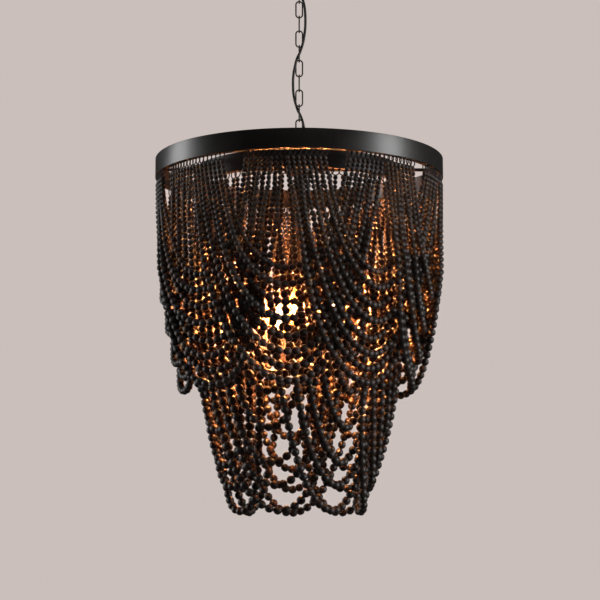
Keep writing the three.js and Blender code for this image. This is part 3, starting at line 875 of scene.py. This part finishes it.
def string_route(tier, loop):
    """A string's points from its left end to its right end, each with the radius of a bead there. Where
    strings cross they press on one another, so the left half lies outside and the right half inside. The
    strings of the upper tier hang so close that they are also set in and out by turns."""
    mean = tier["hoop"] - ROW_INSET
    span = math.radians(tier["inner_span"] + loop * tier["span_step"])
    depth = tier["shallow"] + (tier["deep"] - tier["shallow"]) * tier["shares"][loop]
    half = mean * math.sin(span)
    parameter = catenary(half, depth - THREAD_DROP)
    centre = math.radians(tier["first"])
    route = []
    steps = 240
    for i in range(steps + 1):
        along = half * math.sin(math.pi / 2 * (2 * i / steps - 1))
        drop = depth - parameter * (math.cosh(along / parameter) - 1)
        growth = ease((drop - BEAD_GROWTH_START) / BEAD_GROWTH_LENGTH)
        bead = SMALL_BEAD + (tier["bead"] - SMALL_BEAD) * growth
        side = -math.tanh(along / (half * CROSSING_SHARE))
        push = HOOP_PUSH + (bead + BEAD_GAP) * ease(drop / PUSH_LENGTH)
        surface = mean * (1 - tier["draw_share"] * (drop / tier["deep"]) ** tier["draw_power"])
        layer = tier["stagger"] * ease(drop / SETTLING_LENGTH) * (1 if loop % 2 else -1)
        distance = min(surface + side * push + layer, OUTER_RADIUS - bead)
        angle = centre + math.atan2(along, mean * math.cos(span))
        route.append((polar(distance, angle, tier["foot"] - drop), bead))
    return route


def bead_places(route):
    """Beads laid end to end along a route, from its middle out to each end, and spread a little to fill it.
    Each is its centre, the way the thread runs through it and its radius."""
    lengths = [0]
    for (here, _), (there, _) in zip(route, route[1:]):
        lengths.append(lengths[-1] + (there - here).length)

    def at(length):
        k = bisect.bisect_left(lengths, length, 1, len(lengths) - 1)
        share = (length - lengths[k - 1]) / (lengths[k] - lengths[k - 1])
        (p, a), (q, b) = route[k - 1], route[k]
        return p.lerp(q, share), (q - p).normalized(), a + (b - a) * share

    half = lengths[-1] / 2
    places = [at(half)]
    for side in (1, -1):
        spots = []
        spot = 0
        size = at(half)[2] * BEAD_FLATNESS
        while True:
            next_size = at(half + side * min(spot + 2 * size, half))[2] * BEAD_FLATNESS
            spot += size + next_size
            if spot + next_size > half:
                break
            size = next_size
            spots.append(spot)
        spread = half / (spots[-1] + size)
        places += [at(half + side * spot * spread) for spot in spots]
    return places


def turned_bead():
    """A bead as it comes off the lathe, one unit in radius: a ball cut flat at both ends, where it meets its
    neighbours, with the mouths of its bore sunk in. The ball's last rings become the rims of the flats, the
    rings next to them move nearer to them along the ball, and the poles sink."""
    deselect()
    bpy.ops.mesh.primitive_uv_sphere_add(segments=10, ring_count=6, radius=1)
    bead = bpy.context.object
    last_ring, next_ring, pole = 0.866, 0.5, 1
    last_ring_radius = 0.5
    rim = math.sqrt(1 - BEAD_FLATNESS**2) / last_ring_radius
    resized = [
        (last_ring, (rim, rim, BEAD_FLATNESS / last_ring)),
        (next_ring, (0.94, 0.94, 1.16)),
        (pole, (1, 1, 0.88)),
    ]
    for height, size in resized:
        edit(bead, chosen=lambda corner: abs(abs(corner.co.z) - height) < 0.02)
        bpy.ops.transform.resize(value=size, center_override=(0, 0, 0))
        done()
    bpy.ops.object.shade_smooth()
    return bead


def strung(bead, places):
    """Copies of the bead at every place, each with a stain of its own, joined into one piece."""
    beads = []
    for centre, run, radius in places:
        twin = bead.copy()
        twin.data = bead.data.copy()
        spin = Matrix.Rotation(chance.uniform(0, 6.28), 4, "Z")
        turn = run.to_track_quat("Z", "Y").to_matrix().to_4x4() @ spin
        size = radius * chance.uniform(0.96, 1)
        shape = Matrix.Diagonal((size, size, radius, 1))
        twin.data.transform(Matrix.Translation(centre) @ turn @ shape)
        stain = twin.data.attributes.new("stain", "FLOAT", "POINT")
        stain.data.foreach_set("value", [chance.uniform(0, 0.7)] * len(twin.data.vertices))
        bpy.context.scene.collection.objects.link(twin)
        beads.append(twin)
    return joined(*beads)


def tied(tier, route, end):
    """The thread that holds one end of a string: a ring sewn round the flange, linked with the rings on
    either side of it, which the first bead hangs on."""
    foot = route[end][0]
    angle = math.atan2(foot.x, -foot.y)
    distance = math.hypot(foot.x, foot.y)
    reach = math.radians(tier["ring_reach"])
    top = tier["foot"] + RING_TOP
    centre = (top + foot.z) / 2
    steps = 16
    ring = []
    for step in range(steps + 1):
        turn = 2 * math.pi * step / steps
        height = centre + (top - foot.z) / 2 * math.cos(turn)
        ring.append(polar(distance + RING_LEAN * math.sin(turn), angle + reach * math.sin(turn), height))
    return wire(ring, THREAD_RADIUS, 1)


def swayed(swag, strings, top, start):
    """Lets the strings hang a little out of line, as threaded ones do. Every bead is shifted whole, by
    nothing at the hoop and by a few millimetres lower down, to either side or in, and neighbouring strings
    lean much the same way. The list strings tells which string each bead is on, and start is the swag's own
    place in the noise."""
    corners = [corner.co for corner in swag.data.vertices]
    corners_each = len(corners) // len(strings)
    for i, string in enumerate(strings):
        own = corners[i * corners_each : (i + 1) * corners_each]
        centre = sum(own, Vector()) / corners_each
        hang = ease((top - centre.z) / SETTLING_LENGTH)
        wave = noise.noise_vector(centre * SWAY_DENSITY + Vector((0, 0, start + STRING_STEP * string)))
        aside = centre.xy + wave.xy * hang * SWAY
        aside *= min(1, centre.xy.length / aside.length)
        shift = Vector((*(aside - centre.xy), 0))
        for corner in own:
            corner += shift
    return swag


bead = turned_bead()
for tier in (UPPER, LOWER):
    routes = [string_route(tier, loop) for loop in range(len(tier["shares"]))]
    filled = [bead_places(route) for route in routes]
    strings = [loop for loop, places in enumerate(filled) for _ in places]
    swag = strung(bead, [place for places in filled for place in places])
    ties = joined(*[tied(tier, route, end) for route in routes for end in (0, -1)])
    for i in range(tier["count"]):
        number = f"{i + 1:02d}"
        turn = 2 * math.pi * i / tier["count"]
        hung = swayed(copied(swag, turn=turn), strings, tier["foot"], SWAG_STEP * i)
        finished(hung, tier["name"] + "_beads_" + number, BEECH, "shade",
                 [tier["name"] + "_" + number])
        finished(copied(ties, turn=turn), tier["name"] + "_ties_" + number, THREAD, "shade")
    bpy.data.objects.remove(swag)
    bpy.data.objects.remove(ties)
bpy.data.objects.remove(bead)


# Flex, laced through the first, fifth and ninth links

ROUTE = [
    (-24, 0, -29.3), (-23.5, -0.3, -44), (-21, -0.8, -53), (-15, -1.2, -62), (-7, -1.2, -69.5),
    (0, -1.2, -74.5), (5, -3, -79.5), (8.4, -5.2, -88), (11.2, -5.4, -100), (12.8, -4, -116),
    (13.1, -2.5, -132), (12.6, -3, -147), (11, -5, -162), (8.8, -5.6, -176), (5.6, -4.6, -188),
    (2.6, -2.2, -196), (0, -1.2, -202.5), (-2.8, -2.4, -208.5), (-5.8, -4.6, -217), (-8.6, -5.4, -229),
    (-11.4, -5.2, -243), (-12.9, -3.6, -258), (-13, -2.6, -273), (-12.2, -4, -288), (-9.8, -5.4, -303),
    (-6.4, -5, -315), (-3, -2.4, -324.5), (0, -1.2, -330.5), (3, -2.6, -337), (6.4, -5, -347),
    (9.4, -5.2, -360), (12, -3.8, -376), (14.4, -2.2, -393), (16.4, -1, -410), (17.6, -0.2, -424),
    (18, 0, -443.4), (18, 0, -448.1),
]


def laced_flex():
    """The flex in one length, then parted at the middle of each link."""
    points = [Vector(point) * MM for point in ROUTE]
    flex = wire(smooth_route(points, 6), 2.75 * MM, 4)
    cuts = [middle(f"chain_link_{i + 1:02d}").z for i in range(LINKS)]
    for i in range(LINKS + 1):
        high = cuts[i - 1] if i else 1
        low = cuts[i] if i < LINKS else -1
        length = copied(flex)
        edit(length, "FACE", lambda face: not low < face.center.z <= high)
        bpy.ops.mesh.delete(type="FACE")
        done()
        edit(length, "EDGE")
        bpy.ops.mesh.select_all(action="DESELECT")
        bpy.ops.mesh.select_non_manifold()
        bpy.ops.mesh.edge_face_add()
        done()
        bpy.ops.object.shade_smooth_by_angle(angle=math.radians(50))
        length.name = f"flex_{i + 1:02d}"
        length.data.materials.clear()
        length.data.materials.append(SHEATH)
        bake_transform(length)
        if i == 0:
            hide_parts("power_cord")
    bpy.data.objects.remove(flex)


laced_flex()


# Studio: a pale floor under the fitting, a pale surround, and soft lamps on both sides of the camera


def pale_floor():
    """The floor looks pale to the camera, whatever light falls on it, and keeps the fitting's shadow."""
    deselect()
    bpy.ops.mesh.primitive_plane_add(size=80, location=(0, 0, -2.6))
    floor = bpy.context.object
    floor.name = "floor"
    apply_place(floor)
    material, tree, shader = new_material("matt_plaster", roughness=0.9)
    place = add_node(tree, "ShaderNodeTexCoord").outputs["Object"]
    cloud = add_node(tree, "ShaderNodeTexNoise", {"Scale": 1.5, "Detail": 3}, {"Vector": place})
    shade = two_tones(tree, cloud.outputs["Fac"], "#66605d", "#6c6663")
    pale = two_tones(tree, cloud.outputs["Fac"], "#c3bab5", "#c7beb9")
    tree.links.new(shade, shader.inputs["Base Color"])
    tree.links.new(pale, shader.inputs["Emission Color"])
    ray = add_node(tree, "ShaderNodeLightPath")
    tree.links.new(ray.outputs["Is Camera Ray"], shader.inputs["Emission Strength"])
    floor.data.materials.append(material)


pale_floor()


def softbox(name, place, size, power):
    lamp_data = bpy.data.lights.new(name, "AREA")
    lamp_data.shape = "RECTANGLE"
    lamp_data.size = size[0]
    lamp_data.size_y = size[1]
    lamp_data.energy = power
    lamp = bpy.data.objects.new(name, lamp_data)
    lamp.location = place
    aim = Vector((0, 0, -0.7)) - Vector(place)
    lamp.rotation_euler = aim.to_track_quat("-Z", "Y").to_euler()
    bpy.context.scene.collection.objects.link(lamp)


softbox("left_window", (-3.6, 0.8, -0.5), (1.4, 2.2), 68)
softbox("right_window", (3.3, -1.15, -0.5), (1.3, 2.2), 92)
softbox("overhead_fill", (0.0, -1.8, 1.6), (2.0, 1.6), 12)

world = bpy.data.worlds.new("pale_surround")
bpy.context.scene.world = world
world.use_nodes = True
sky = world.node_tree
sky.nodes.clear()
seen = add_node(sky, "ShaderNodeBackground", {"Color": linear("#cabfba"), "Strength": 1.0})
lighting = add_node(sky, "ShaderNodeBackground", {"Color": linear("#f2ece8"), "Strength": 0.04})
ray = add_node(sky, "ShaderNodeLightPath")
mixed = add_node(sky, "ShaderNodeMixShader")
sky.links.new(ray.outputs["Is Camera Ray"], mixed.inputs[0])
sky.links.new(lighting.outputs[0], mixed.inputs[1])
sky.links.new(seen.outputs[0], mixed.inputs[2])
out = add_node(sky, "ShaderNodeOutputWorld")
sky.links.new(mixed.outputs[0], out.inputs["Surface"])
